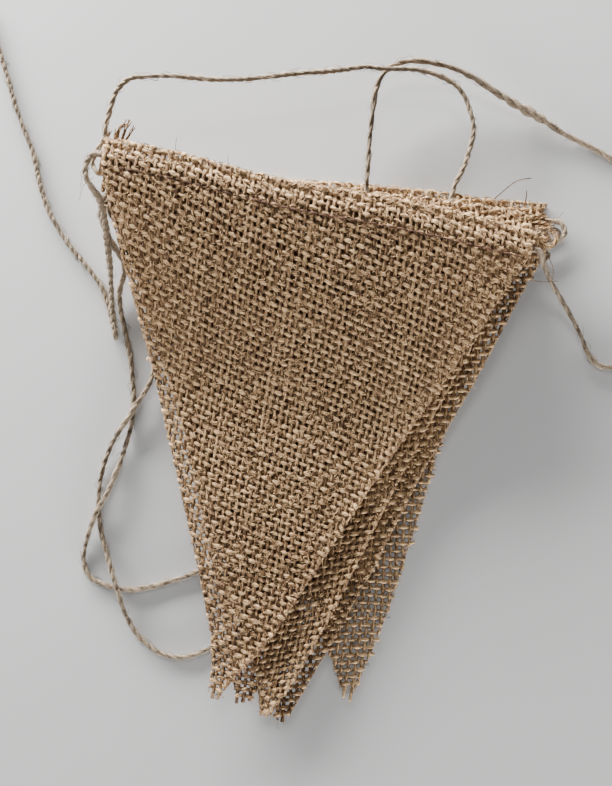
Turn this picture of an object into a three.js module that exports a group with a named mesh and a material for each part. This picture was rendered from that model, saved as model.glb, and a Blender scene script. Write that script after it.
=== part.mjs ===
// Jute hessian bunting, gathered into a pile: five triangular pennants, each with its top edge turned over
// into a hem, threaded one after another on a single jute twine.
// Millimetres, +Z up. The plan is measured from a datum beside the pile's middle: +X to the right along the
// hems, +Y towards the hems, -Y towards the points.
import * as THREE from 'three';

// Driving dimensions
const CLOTH = 1.0; // thickness of the hessian
const TWINE = 1.8; // diameter of the jute twine
const GAP = 0.3; // least clearance between neighbours
const FLAP = 12.5; // depth of the turned-over hem
const FACE_RESTS = 17; // the face lies down again this far below the fold
const FOLD_RADIUS = 0.8; // of the cloth's middle surface round the fold
const CHANNEL_AT = 6; // the twine's channel, below the fold
const CHANNEL_HALF = 4.2; // half the channel's width
const LAYER_STEP = 1.5; // from one pennant's face to the next, towards the points
const TWINE_ROOM = 0.9; // more room over the lowest pennant, where the twine lies under the pile
const SPREAD_AT = { start: -10, end: 49 }; // the pile thickens from points to hems between these lines
const SPREAD_LEAN = 0.2; // those lines follow the hems, which fall to the right
const MIDDLE = { x: 7.6, y: -15.8 }; // middle of the pile's footprint, which becomes the origin
const COLUMNS = 10; // cells across each pennant

const FLAT_LIFT = CLOTH + GAP; // from flap to face where no twine is between
const CHANNEL_LIFT = CLOTH + TWINE + 2 * GAP; // and over the twine
const HEM_STEP = CHANNEL_LIFT + CLOTH + GAP; // from one hem to the next
const BEND = (FOLD_RADIUS * Math.PI) / 2; // half the length of the cloth in the bend

// Each pennant, from the floor up. fold: middle of the folded edge and its angle. wave: how far the fold
// strays from a straight line, and where along it that is most. outline: distance below the fold, and how far
// the cut edges lie to the left and right of the fold's middle there.
const PENNANTS = [
  {
    name: 'pennant_5',
    fold: { x: 13, y: 77, degrees: -5.5 },
    wave: { size: 0.5, at: 20 },
    outline: [
      { v: 0, left: -75, right: 75 },
      { v: 12, left: -72, right: 72 },
      { v: 87, left: -26, right: 46.5 },
      { v: 120, left: -11.5, right: 40 },
      { v: 155, left: 4.5, right: 32.5 },
      { v: 172, left: 12, right: 27.5 },
      { v: 190, left: 19.5, right: 21.5 },
    ],
  },
  {
    name: 'pennant_4',
    fold: { x: 8, y: 66.5, degrees: -6.8 },
    wave: { size: 0.4, at: -10 },
    outline: [
      { v: 0, left: -74.5, right: 75 },
      { v: 12, left: -72, right: 70 },
      { v: 60, left: -52, right: 48 },
      { v: 110, left: -34.5, right: 23 },
      { v: 150, left: -21, right: 5 },
      { v: 182, left: -12.5, right: -6.5 },
    ],
  },
  {
    name: 'pennant_3',
    fold: { x: 10.5, y: 69.5, degrees: -6.5 },
    wave: { size: 0.5, at: 40 },
    outline: [
      { v: 0, left: -75.5, right: 77 },
      { v: 12, left: -72.5, right: 76 },
      { v: 30, left: -64, right: 68.5 },
      { v: 60, left: -50, right: 57.5 },
      { v: 98, left: -33.5, right: 41.5 },
      { v: 130, left: -20, right: 29.5 },
      { v: 162, left: -7.5, right: 16 },
      { v: 190, left: 0.5, right: 3.5 },
    ],
  },
  {
    name: 'pennant_2',
    fold: { x: 4.5, y: 73, degrees: -7.7 },
    wave: { size: 0.7, at: -50 },
    outline: [
      { v: 0, left: -76, right: 76 },
      { v: 12, left: -73, right: 74 },
      { v: 64, left: -50, right: 56.5 },
      { v: 106, left: -30, right: 41 },
      { v: 150, left: -9, right: 26 },
      { v: 175, left: 1, right: 16 },
      { v: 190, left: 4.5, right: 8 },
    ],
  },
  {
    name: 'pennant_1',
    fold: { x: 4.5, y: 72, degrees: -11.9 },
    wave: { size: 0.8, at: -60 },
    outline: [
      { v: 0, left: -76, right: 77 },
      { v: 10, left: -74.5, right: 75.5 },
      { v: 31, left: -66, right: 67 },
      { v: 58, left: -53.5, right: 57.5 },
      { v: 94, left: -36.5, right: 43 },
      { v: 142, left: -14, right: 24 },
      { v: 162, left: -5.5, right: 16 },
      { v: 174, left: -2.5, right: 8 },
      { v: 185, left: -2, right: 2 },
    ],
  },
];

// Heights along a pennant, as distances below the fold: down the flap, round the bend, and over the face
const FLAP_ROWS = [FLAP, 10, 8, 6, 4, 2];
const BEND_ROWS = [-90, -45, 0, 45, 90]; // degrees round the bend
const HEM_ROWS = [2, 3, 4.5, 6, 7.5, 9, 10.2, 13, 15, FACE_RESTS];
const FACE_STEP = 11;

// The twine's free stretches, as [x, y, height] read along them. Each runs on from the hem it leaves to the
// hem it enters; only the tail has a bare end.
const TAIL = [
  [-118, 142.5, 1], [-113, 126, 1], [-110, 116.5, 1], [-108.5, 110.5, 1], [-104.5, 98.5, 1], [-100.5, 88, 1],
  [-98.5, 79, 1], [-95.5, 68.5, 1], [-91, 60, 1], [-86.5, 53.5, 1], [-81, 47, 1], [-76, 40, 1],
  [-73.5, 34.5, 1], [-71.5, 27, 1], [-70.5, 22, 1.1], [-70, 20.2, 2], [-70, 22, 3.1], [-70.5, 26.5, 3.6],
  [-71, 34.5, 4.5], [-71, 45.5, 6.5], [-71.5, 55, 9.6], [-71.5, 63.5, 14], [-72.5, 68.5, 18], [-74.5, 71.5, 20.5],
  [-76, 75, 21.3], [-76, 79, 21.4],
];
const RIGHT_LOOP = [
  [83, 46, 17], [87, 40.5, 11], [92.5, 34, 6.5], [97.5, 27, 3.5], [101.5, 20, 2], [104.5, 13.5, 1.2],
  [108.5, 10, 1], [113.5, 9.5, 1], [120, 12.5, 1], [126, 19.5, 1], [130.5, 31.5, 1], [132.5, 46, 1],
  [130.5, 61, 1], [125, 74, 1], [118, 82.5, 1], [113, 86, 1], [105, 90.5, 1.3], [95.5, 95, 1.8],
  [84.5, 101.5, 3], [76.5, 105.5, 4], [67.5, 110.5, 5.3], [59.5, 115, 6.6], [51, 118, 7.8], [40.5, 119.5, 8.8],
  [35, 119, 9], [29, 116.5, 8.8], [25.5, 110.5, 7.8], [24, 100.5, 6.6], [23, 90.5, 5.8], [22.5, 82, 5.5],
  [22, 75, 5.2], [22, 70, 5.9], [22, 66, 4], [22.5, 63, 3.5], [24.5, 59.5, 2.7], [30, 57, 2.4],
  [53, 52, 2.4], [78, 48.5, 2.6], [83, 47.8, 3.2], [87, 48.5, 4.6], [88, 50.3, 6], [85.5, 51.6, 6.9],
];
const ARCH = [
  [-75, 80.5, 16.4], [-73.5, 84.5, 16.8], [-70.5, 89.5, 17.2], [-70, 93.5, 17.5], [-67.5, 102, 18], [-65.5, 106.5, 18],
  [-61, 110, 18], [-56.5, 110.5, 17.8], [-48.5, 111, 17.5], [-39, 110.5, 17], [-30, 110, 16.5], [-20.5, 110.5, 16],
  [-5, 112.5, 15], [12, 114.5, 13.5], [21.5, 116, 12.6], [27.5, 115.5, 12], [40, 115.5, 11], [49.5, 113, 10],
  [55.5, 109, 9.2], [58.5, 103.5, 8.4], [60.5, 96, 7.6], [59.5, 89.5, 7], [57, 81.5, 6.6], [54, 75.5, 6],
  [52.5, 69, 6], [52.3, 66.5, 6], [52.3, 63.5, 4.3], [53, 60.5, 3.5], [56, 57.5, 2.8], [62, 55.5, 2.4],
  [72, 54.3, 2.6], [83, 53.9, 2.9], [91, 55.2, 2.8], [95, 59, 2.6], [93.5, 62.5, 2.4],
];
const LEFT_LOOPS = [
  [-71.5, 70.5, 11.4], [-73.5, 66, 10.6], [-73, 61, 9.2], [-70.5, 55, 7.3], [-66.5, 47.5, 5], [-66.5, 43.5, 4],
  [-68.5, 37, 2.6], [-68.3, 31, 1.7], [-67, 24.5, 1], [-65, 14.5, 1], [-64, 5, 1], [-63.5, -2.5, 1],
  [-64.5, -12, 1.1], [-67.5, -23, 1.9], [-72.5, -36, 3.2], [-76.5, -43, 3.1], [-80.5, -53.5, 1.7], [-82, -61.5, 1],
  [-79.5, -68, 1], [-73, -71, 1], [-64.5, -72.5, 1], [-55.5, -71, 1], [-45.5, -68, 1], [-39, -65.5, 1],
  [-31, -64, 1], [-24.5, -68, 1], [-22, -77, 1], [-24.5, -86.5, 1], [-35.5, -94, 1], [-45.5, -97.5, 1],
  [-53.5, -96, 1], [-60.5, -91, 1], [-66, -82.5, 1.6], [-69.5, -71, 3.2], [-73, -60, 2], [-76, -48.5, 1],
  [-76.5, -40.5, 1], [-75.5, -30.5, 1.2], [-71.5, -19, 2.2], [-63.5, -6.5, 3.3], [-56.5, 5.5, 3], [-55, 17.5, 2],
  [-57.5, 32.5, 1], [-62.5, 48, 1.6], [-66.5, 57.5, 3], [-69.5, 62.5, 5], [-72, 67, 6.4], [-72.5, 70, 6.9],
];
const LINK = [
  [82.5, 57.3, 16.2], [86.5, 57.6, 15.9], [90, 57.3, 15], [91.5, 56, 13.3], [90.8, 55, 12],
];
const TWINE_SIDES = 8;
const HEM_RUN_STEPS = 10;

const hessian = new THREE.MeshStandardMaterial({ color: 0xa6835c, roughness: 0.95, metalness: 0 });
const jute = new THREE.MeshStandardMaterial({ color: 0xb39a75, roughness: 0.9, metalness: 0 });

const smooth = (t) => THREE.MathUtils.smoothstep(t, 0, 1);

// The plan directions of a pennant: along its fold, and down from the fold
function axes({ fold }) {
  const angle = THREE.MathUtils.degToRad(fold.degrees);
  const along = new THREE.Vector2(Math.cos(angle), Math.sin(angle));
  return { along, down: new THREE.Vector2(along.y, -along.x) };
}

// Height of a pennant's lower cloth, by its place in the pile: the faces lie close towards the points, and
// the hems stand one on another
function baseHeight(level, x, y) {
  const across = y + SPREAD_LEAN * x;
  const spread = smooth((across - SPREAD_AT.start) / (SPREAD_AT.end - SPREAD_AT.start));
  const close = level === 0 ? 0 : TWINE_ROOM + LAYER_STEP * level;
  const ripple = 0.12 * level * (1 + Math.sin(x / 19 + 1) * Math.cos(y / 27));
  return CLOTH / 2 + THREE.MathUtils.lerp(close, HEM_STEP * level, spread) + ripple;
}

// How far the face stands over the flap, v below the fold
function faceLift(v) {
  const fromChannel = Math.min(Math.abs(v - CHANNEL_AT) / CHANNEL_HALF, 1);
  const bulge = (CHANNEL_LIFT - FLAT_LIFT) * Math.cos((fromChannel * Math.PI) / 2) ** 2;
  const fold = (2 * FOLD_RADIUS - FLAT_LIFT) * (1 - smooth((v - FOLD_RADIUS) / 2));
  const down = smooth((v - FLAP - GAP) / (FACE_RESTS - FLAP - GAP));
  return (FLAT_LIFT + bulge + fold) * (1 - down);
}

// The cloth's section across the hem: w runs along the cloth, 0 at the fold, positive over the face
function hemSection(w) {
  if (Math.abs(w) < BEND) {
    const angle = w / FOLD_RADIUS;
    return { v: FOLD_RADIUS * (1 - Math.cos(angle)), lift: FOLD_RADIUS * (1 + Math.sin(angle)) };
  }
  const v = Math.abs(w) - BEND + FOLD_RADIUS;
  return { v, lift: w > 0 ? faceLift(v) : 0 };
}

// A point of the cloth's middle surface: u along the fold, w down the cloth
function clothPoint(pennant, level, u, w) {
  const { along, down } = axes(pennant);
  const { v, lift } = hemSection(w);
  const below = v - pennant.wave.size * Math.cos((u - pennant.wave.at) / 15);
  const x = pennant.fold.x + along.x * u + down.x * below;
  const y = pennant.fold.y + along.y * u + down.y * below;
  return new THREE.Vector3(x, y, baseHeight(level, x, y) + lift);
}

// Where the cut edges are, v below the fold
function edgesAt({ outline }, v) {
  const last = outline.length - 1;
  const i = Math.min(outline.findIndex((row, n) => n === last || v < outline[n + 1].v), last - 1);
  const t = THREE.MathUtils.clamp((v - outline[i].v) / (outline[i + 1].v - outline[i].v), 0, 1);
  return {
    left: THREE.MathUtils.lerp(outline[i].left, outline[i + 1].left, t),
    right: THREE.MathUtils.lerp(outline[i].right, outline[i + 1].right, t),
  };
}

// The rows of cells down a pennant, from the flap's raw edge to the point
function rowsOf({ outline }) {
  const length = outline.at(-1).v;
  const steps = Math.round((length - FACE_RESTS) / FACE_STEP);
  const face = Array.from({ length: steps }, (_, n) => FACE_RESTS + ((n + 1) * (length - FACE_RESTS)) / steps);
  return [
    ...FLAP_ROWS.map((v) => FOLD_RADIUS - BEND - v),
    ...BEND_ROWS.map((degrees) => THREE.MathUtils.degToRad(degrees) * FOLD_RADIUS),
    ...[...HEM_ROWS, ...face].map((v) => v - FOLD_RADIUS + BEND),
  ];
}

// One pennant: a closed sheet of even thickness on the cloth's middle surface, hem and all
function pennantGeometry(pennant, level) {
  const rows = rowsOf(pennant);
  const geometry = new THREE.BoxGeometry(1, 1, 1, COLUMNS, rows.length - 1, 1);
  const position = geometry.attributes.position;
  const nudge = 0.05;
  for (let i = 0; i < position.count; i++) {
    const w = rows[Math.round((position.getY(i) + 0.5) * (rows.length - 1))];
    const { left, right } = edgesAt(pennant, w < 0 ? 0 : hemSection(w).v);
    const u = THREE.MathUtils.lerp(left, right, 0.5 - position.getX(i));
    const acrossCloth = clothPoint(pennant, level, u + nudge, w).sub(clothPoint(pennant, level, u - nudge, w));
    const upCloth = clothPoint(pennant, level, u, w - nudge).sub(clothPoint(pennant, level, u, w + nudge));
    const outward = acrossCloth.cross(upCloth).normalize();
    const point = clothPoint(pennant, level, u, w).addScaledVector(outward, position.getZ(i) * CLOTH);
    position.setXYZ(i, point.x, point.y, point.z);
  }
  geometry.deleteAttribute('normal');
  geometry.deleteAttribute('uv');
  return geometry;
}

// A round cord along a route. Steps are shared out by the route's points, which are closer in its bends.
function cordGeometry(points, steps) {
  const path = new THREE.CatmullRomCurve3(points);
  path.getUtoTmapping = (u) => u;
  const angles = Array.from({ length: TWINE_SIDES }, (_, n) => (2 * Math.PI * n) / TWINE_SIDES);
  const corners = angles.map((a) => new THREE.Vector2(Math.cos(a), Math.sin(a)).multiplyScalar(TWINE / 2));
  return new THREE.ExtrudeGeometry(new THREE.Shape(corners), { steps, extrudePath: path });
}

// The twine's place in a hem's mouth, and the way out of it. side is -1 at the left and 1 at the right.
function mouth(name, side) {
  const level = PENNANTS.findIndex((pennant) => pennant.name === name);
  const pennant = PENNANTS[level];
  const { left, right } = edgesAt(pennant, CHANNEL_AT);
  const w = CHANNEL_AT - FOLD_RADIUS + BEND;
  const place = (u) => {
    const point = clothPoint(pennant, level, u, w);
    return point.setZ(point.z - CHANNEL_LIFT / 2);
  };
  const end = place(side < 0 ? left : right);
  const { along } = axes(pennant);
  const out = new THREE.Vector3(along.x * side, along.y * side, 0);
  return { end, place, left, right, out };
}

// Two points that carry a free stretch out of a mouth, clear of the run inside the hem
function leaving(name, side) {
  const { end, out } = mouth(name, side);
  return [GAP, 3].map((distance) => end.clone().addScaledVector(out, distance));
}

function freeStretch(start, table, end, steps) {
  const between = table.map((row) => new THREE.Vector3(...row));
  return cordGeometry([...start, ...between, ...end.reverse()], steps);
}

function hemRun(name) {
  const { place, left, right } = mouth(name, -1);
  const points = Array.from({ length: HEM_RUN_STEPS + 1 }, (_, n) =>
    place(THREE.MathUtils.lerp(left, right, n / HEM_RUN_STEPS)),
  );
  return cordGeometry(points, HEM_RUN_STEPS);
}

const bunting = new THREE.Group();

function add(name, geometry, material) {
  const mesh = new THREE.Mesh(geometry, material);
  mesh.name = name;
  bunting.add(mesh);
}

PENNANTS.forEach((pennant, level) => {
  add(pennant.name, pennantGeometry(pennant, level), hessian);
  add(`hem_run_${pennant.name.at(-1)}`, hemRun(pennant.name), jute);
});
add('twine_tail', freeStretch([], TAIL, leaving('pennant_1', -1), 56), jute);
add('twine_right_loop', freeStretch(leaving('pennant_1', 1), RIGHT_LOOP, leaving('pennant_4', 1), 78), jute);
add('twine_arch', freeStretch(leaving('pennant_2', -1), ARCH, leaving('pennant_5', 1), 72), jute);
add('twine_left_loops', freeStretch(leaving('pennant_3', -1), LEFT_LOOPS, leaving('pennant_4', -1), 78), jute);
add('twine_link', freeStretch(leaving('pennant_2', 1), LINK, leaving('pennant_3', 1), 16), jute);

bunting.position.set(-MIDDLE.x, -MIDDLE.y, 0);

export default bunting;
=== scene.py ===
"""Jute hessian bunting in a pile: five pennants on one jute twine, seen from straight above.

Each pennant is woven flat, yarn by yarn, and then laid over the same surface as its solid. The twine is two
plies laid up along the same route as its solids. Metres throughout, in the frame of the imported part.
"""
import logging
import math
from dataclasses import dataclass, field
from enum import Enum

import bmesh
import bpy
import numpy as np
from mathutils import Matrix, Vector


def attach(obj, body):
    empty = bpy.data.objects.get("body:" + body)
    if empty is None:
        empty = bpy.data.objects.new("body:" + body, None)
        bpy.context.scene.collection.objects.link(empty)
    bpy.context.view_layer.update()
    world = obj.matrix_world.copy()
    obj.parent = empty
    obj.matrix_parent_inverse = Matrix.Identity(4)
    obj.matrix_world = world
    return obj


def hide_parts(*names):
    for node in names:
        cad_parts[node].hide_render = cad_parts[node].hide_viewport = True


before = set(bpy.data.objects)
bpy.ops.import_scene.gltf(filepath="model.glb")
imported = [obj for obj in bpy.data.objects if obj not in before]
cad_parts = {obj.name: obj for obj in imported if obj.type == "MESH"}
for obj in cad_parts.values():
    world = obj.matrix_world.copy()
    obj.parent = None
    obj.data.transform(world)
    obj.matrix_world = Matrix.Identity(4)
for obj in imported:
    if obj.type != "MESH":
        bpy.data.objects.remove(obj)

log = logging.getLogger("bunting")
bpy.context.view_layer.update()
BODY = "root"


def add_object(name: str, data: bpy.types.ID) -> bpy.types.Object:
    """Adds an object to the scene.

    Args:
        name: its name.
        data: its mesh, curve, light or camera.

    Returns:
        The object, at the origin.
    """
    made = bpy.data.objects.new(name, data)
    bpy.context.scene.collection.objects.link(made)
    return made


# The photograph's frame and camera

@dataclass(frozen=True)
class Viewpoint:
    """Where the pile is seen from: straight above the datum that its plan is measured from."""

    height: int = 786
    focal_pixels: float = 865.0
    above_surface: float = 0.320
    sensor_height: float = 36.0

    def place(self, datum: Vector) -> None:
        """Adds the scene's camera.

        Args:
            datum: the point of the part's frame that is under the camera.
        """
        data = bpy.data.cameras.new("camera")
        data.sensor_fit = "VERTICAL"
        data.sensor_height = self.sensor_height
        data.lens = self.focal_pixels * self.sensor_height / self.height
        data.clip_start = 0.01
        camera = add_object("camera", data)
        camera.location = datum + Vector((0.0, 0.0, self.above_surface))
        bpy.context.scene.camera = camera


# How the pile is stacked, as in the part's source

@dataclass(frozen=True)
class PileShape:
    """The heights of the pile's cloths, by their order from the surface up, as in the part's source.

    The front pennant departs from it: its face has come down only at stiff_to, and lies lower over its twine by
    pressed.
    """

    cloth: float = 0.001
    twine: float = 0.0018
    gap: float = 0.0003
    flap: float = 0.0125
    face_rests: float = 0.017
    stiff_to: float = 0.017
    pressed: float = 0.0
    fold_radius: float = 0.0008
    channel_at: float = 0.006
    channel_half: float = 0.0042
    layer_step: float = 0.0015
    twine_room: float = 0.0009
    spread_start: float = -0.010
    spread_end: float = 0.049
    spread_lean: float = 0.2
    middle: tuple[float, float] = (0.0076, -0.0158)
    fold_blend: float = 0.002
    ripple: float = 0.00012
    ripple_scale: tuple[float, float] = (0.019, 0.027)

    @property
    def flat_lift(self) -> float:
        """From the flap to the face where no twine is between."""
        return self.cloth + self.gap

    @property
    def channel_lift(self) -> float:
        """From the flap to the face over the twine."""
        return self.cloth + self.twine + 2 * self.gap

    @property
    def hem_step(self) -> float:
        """From one hem to the next."""
        return self.channel_lift + self.cloth + self.gap

    @property
    def bend(self) -> float:
        """Half the length of cloth in the bend of a hem."""
        return self.fold_radius * math.pi / 2

    @property
    def channel_along(self) -> float:
        """Where the middle of the twine's channel is, along the cloth."""
        return self.channel_at - self.fold_radius + self.bend

    @property
    def datum(self) -> Vector:
        """The plan's datum in the part's frame."""
        return Vector((-self.middle[0], -self.middle[1], 0.0))

    def base_height(self, level: int, x: np.ndarray, y: np.ndarray) -> np.ndarray:
        """The height of a pennant's lower cloth.

        Args:
            level: the pennant's place from the surface up.
            x: places across, from the datum.
            y: places up the plan, from the datum.

        Returns:
            The heights of the cloth's middle surface.
        """
        spread = smooth((y + self.spread_lean * x - self.spread_start) / (self.spread_end - self.spread_start))
        close = self.twine_room + self.layer_step * level if level else 0.0
        waves = np.sin(x / self.ripple_scale[0] + 1) * np.cos(y / self.ripple_scale[1])
        ripple = self.ripple * level * (1 + waves)
        return self.cloth / 2 + close + (self.hem_step * level - close) * spread + ripple

    def face_lift(self, v: np.ndarray) -> np.ndarray:
        """How far the face stands over the flap.

        Args:
            v: distances below the fold.

        Returns:
            The lifts there.
        """
        from_channel = np.minimum(np.abs(v - self.channel_at) / self.channel_half, 1)
        raised = self.channel_lift - self.pressed
        bulge = (raised - self.flat_lift) * np.cos(from_channel * math.pi / 2) ** 2
        fold = (2 * self.fold_radius - self.flat_lift) * (1 - smooth((v - self.fold_radius) / self.fold_blend))
        down = smooth((v - self.flap - self.gap) / (self.face_rests - self.flap - self.gap))
        lift = (self.flat_lift + bulge + fold) * (1 - down)
        if self.stiff_to > self.face_rests:
            slow = raised * (1 - smooth((v - self.channel_at) / (self.stiff_to - self.channel_at)))
            lift = np.where(v > self.channel_at, np.maximum(lift, slow), lift)
        return lift

    def hem_section(self, w: np.ndarray) -> tuple[np.ndarray, np.ndarray]:
        """The cloth's section across a hem.

        Args:
            w: distances along the cloth, 0 at the fold and positive over the face.

        Returns:
            The distances below the fold, and the lifts over the lower cloth.
        """
        angle = np.clip(w, -self.bend, self.bend) / self.fold_radius
        beyond = np.maximum(np.abs(w) - self.bend, 0)
        v = self.fold_radius * (1 - np.cos(angle)) + beyond
        round_fold = self.fold_radius * (1 + np.sin(angle))
        flat = np.where(w > 0, self.face_lift(v), 0)
        return v, np.where(np.abs(w) < self.bend, round_fold, flat)


@dataclass(frozen=True)
class Weave:
    """How one pennant's hessian is woven, and how its handling has skewed it."""

    warp_pitch: float
    weft_pitch: float
    warp_lean: float
    weft_lean: float
    warp_yarn: float = 0.00130
    weft_yarn: float = 0.00136
    weft_closes: float = 0.0014
    warp_rise: float = 0.00026
    weft_rise: float = 0.00072
    flatness: float = 0.56


@dataclass(frozen=True)
class Pennant:
    """One pennant's place, its cut edges, its weave and its wear.

    The outline's rows are the distance below the fold, and how far the cut edges lie to the left and right there.
    The tint is the cloth's shade, stray the number of loose fibres, and curl how far the right cut edge stands up.
    hem_fluff is the share that yarns swell by at the fold, and matted the thickness of the fibres that are matted
    together along the cut edges. Yarn ends that stand beyond an edge by less than sheared are pressed back to it,
    and frayed is the share of ends that are left longer. yarn_sides is how many sides a yarn's section has.
    """

    name: str
    level: int
    fold: tuple[float, float]
    degrees: float
    wave: tuple[float, float]
    outline: tuple[tuple[float, float, float], ...]
    weave: Weave
    tint: float
    stray: int = 1500
    curl: float = 0.0
    hem_fluff: float = 0.1
    matted: float = 0.0007
    sheared: float = 0.0007
    yarn_sides: int = 5
    frayed: float = 0.08
    pile: PileShape = PileShape()
    wave_scale: float = 0.015
    curl_reach: float = 0.003
    curl_from: float = 0.015
    curl_ramp: float = 0.03
    lowest: float = 0.00008

    @property
    def along(self) -> np.ndarray:
        """The plan direction along the fold."""
        angle = math.radians(self.degrees)
        return np.array((math.cos(angle), math.sin(angle)))

    @property
    def down(self) -> np.ndarray:
        """The plan direction down from the fold."""
        return np.array((self.along[1], -self.along[0]))

    @property
    def raw_edge(self) -> float:
        """Where the flap ends, along the cloth."""
        return self.pile.fold_radius - self.pile.bend - self.pile.flap

    @property
    def tip(self) -> float:
        """Where the point ends, along the cloth."""
        return self.outline[-1][0] - self.pile.fold_radius + self.pile.bend

    @property
    def flat_size(self) -> tuple[float, float]:
        """The width and length that the cloth was cut to."""
        widest = max(right - left for _, left, right in self.outline)
        return widest, self.tip - self.raw_edge

    @property
    def flat_area(self) -> float:
        """The area that the cloth was cut to.

        Returns:
            The face's area and that of the flap with its bend.
        """
        rows = np.array(self.outline)
        face = np.trapz(rows[:, 2] - rows[:, 1], rows[:, 0])
        return float(face + (rows[0, 2] - rows[0, 1]) * (self.pile.flap + 2 * self.pile.bend))

    def edges(self, w: np.ndarray) -> tuple[np.ndarray, np.ndarray]:
        """Where the cut edges are.

        Args:
            w: distances along the cloth.

        Returns:
            The left and right edges, along the fold.
        """
        rows = np.array(self.outline)
        v = np.where(w < 0, 0, self.pile.hem_section(w)[0])
        return np.interp(v, rows[:, 0], rows[:, 1]), np.interp(v, rows[:, 0], rows[:, 2])

    def inside(self, u: np.ndarray, w: np.ndarray) -> np.ndarray:
        """How far places on the flat cloth are inside its cut edges."""
        left, right = self.edges(w)
        return np.minimum.reduce((u - left, right - u, w - self.raw_edge, self.tip - w))

    def surface(self, u: np.ndarray, w: np.ndarray) -> np.ndarray:
        """Points of the cloth's middle surface, from the datum.

        Args:
            u: places along the fold.
            w: places along the cloth.

        Returns:
            One row of x, y and z for each place.
        """
        v, lift = self.pile.hem_section(w)
        below = v - self.wave[0] * np.cos((u - self.wave[1]) / self.wave_scale)
        x = self.fold[0] + self.along[0] * u + self.down[0] * below
        y = self.fold[1] + self.along[1] * u + self.down[1] * below
        return np.column_stack((x, y, self.pile.base_height(self.level, x, y) + lift))

    def lay(self, flat: np.ndarray) -> np.ndarray:
        """Lays points of the flat cloth over the pennant's surface.

        Args:
            flat: rows of places along the fold, along the cloth and out of it.

        Returns:
            The points in the part's frame, none of them below the surface that the pile lies on.
        """
        u, w, out = flat.T
        step = 0.00005
        across = self.surface(u + step, w) - self.surface(u - step, w)
        up = self.surface(u, w - step) - self.surface(u, w + step)
        normal = np.cross(across, up)
        normal /= np.linalg.norm(normal, axis=1)[:, None]
        points = self.surface(u, w) + normal * out[:, None] + np.array(self.pile.datum)
        from_edge = np.maximum(self.edges(w)[1] - u, 0)
        ramp = smooth((w - self.curl_from) / self.curl_ramp)
        points[:, 2] += self.curl * np.exp(-from_edge / self.curl_reach) * ramp
        points[:, 2] = np.maximum(points[:, 2], self.lowest)
        return points


PENNANTS = (
    Pennant(
        name="pennant_5", level=0, fold=(0.013, 0.077), degrees=-5.5, wave=(0.0005, 0.02),
        outline=(
            (0.0, -0.075, 0.075), (0.012, -0.072, 0.072), (0.087, -0.026, 0.0465), (0.12, -0.0115, 0.04),
            (0.155, 0.0045, 0.0325), (0.172, 0.012, 0.0275), (0.19, 0.0195, 0.0215),
        ),
        weave=Weave(0.00240, 0.00300, warp_lean=0.0, weft_lean=-0.09, warp_yarn=0.00105, weft_yarn=0.00115),
        tint=1.08, stray=3000, hem_fluff=0.4, matted=0.00032, sheared=0.0002, frayed=0.45,
    ),
    Pennant(
        name="pennant_4", level=1, fold=(0.008, 0.0665), degrees=-6.8, wave=(0.0004, -0.01),
        outline=(
            (0.0, -0.0745, 0.075), (0.012, -0.072, 0.07), (0.06, -0.052, 0.048), (0.11, -0.0345, 0.023),
            (0.15, -0.021, 0.005), (0.182, -0.0125, -0.0065),
        ),
        weave=Weave(0.00230, 0.00270, warp_lean=0.03, weft_lean=0.08),
        tint=0.45, stray=500, yarn_sides=4,
    ),
    Pennant(
        name="pennant_3", level=2, fold=(0.0105, 0.0695), degrees=-6.5, wave=(0.0005, 0.04),
        outline=(
            (0.0, -0.0755, 0.077), (0.012, -0.0725, 0.076), (0.03, -0.064, 0.0685), (0.06, -0.05, 0.0575),
            (0.098, -0.0335, 0.0415), (0.13, -0.02, 0.0295), (0.162, -0.0075, 0.016), (0.19, 0.0005, 0.0035),
        ),
        weave=Weave(0.00225, 0.00270, warp_lean=0.02, weft_lean=-0.2),
        tint=0.60, curl=0.0007, stray=900,
    ),
    Pennant(
        name="pennant_2", level=3, fold=(0.0045, 0.073), degrees=-7.7, wave=(0.0007, -0.05),
        outline=(
            (0.0, -0.076, 0.076), (0.012, -0.073, 0.074), (0.064, -0.05, 0.0565), (0.106, -0.03, 0.041),
            (0.15, -0.009, 0.026), (0.175, 0.001, 0.016), (0.19, 0.0045, 0.008),
        ),
        weave=Weave(0.00215, 0.00275, warp_lean=-0.02, weft_lean=-0.34),
        tint=0.65, curl=0.0008,
    ),
    Pennant(
        name="pennant_1", level=4, fold=(0.0045, 0.072), degrees=-11.9, wave=(0.0008, -0.06),
        outline=(
            (0.0, -0.076, 0.077), (0.01, -0.0745, 0.0755), (0.031, -0.066, 0.067), (0.058, -0.0535, 0.0575),
            (0.094, -0.0365, 0.043), (0.142, -0.014, 0.024), (0.162, -0.0055, 0.016), (0.174, -0.0025, 0.008),
            (0.185, -0.002, 0.002),
        ),
        weave=Weave(0.00222, 0.00270, warp_lean=0.042, weft_lean=0.268, weft_yarn=0.00132),
        tint=0.59, stray=10000, curl=0.0009, hem_fluff=0.22, pile=PileShape(stiff_to=0.036, pressed=0.0005),
    ),
)

# The twine's free stretches, in tenths of a millimetre from the datum. They are read along the twine as in the
# part's source. Only LINK differs from it: its loop reaches 1.7 mm less far out.

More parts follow.
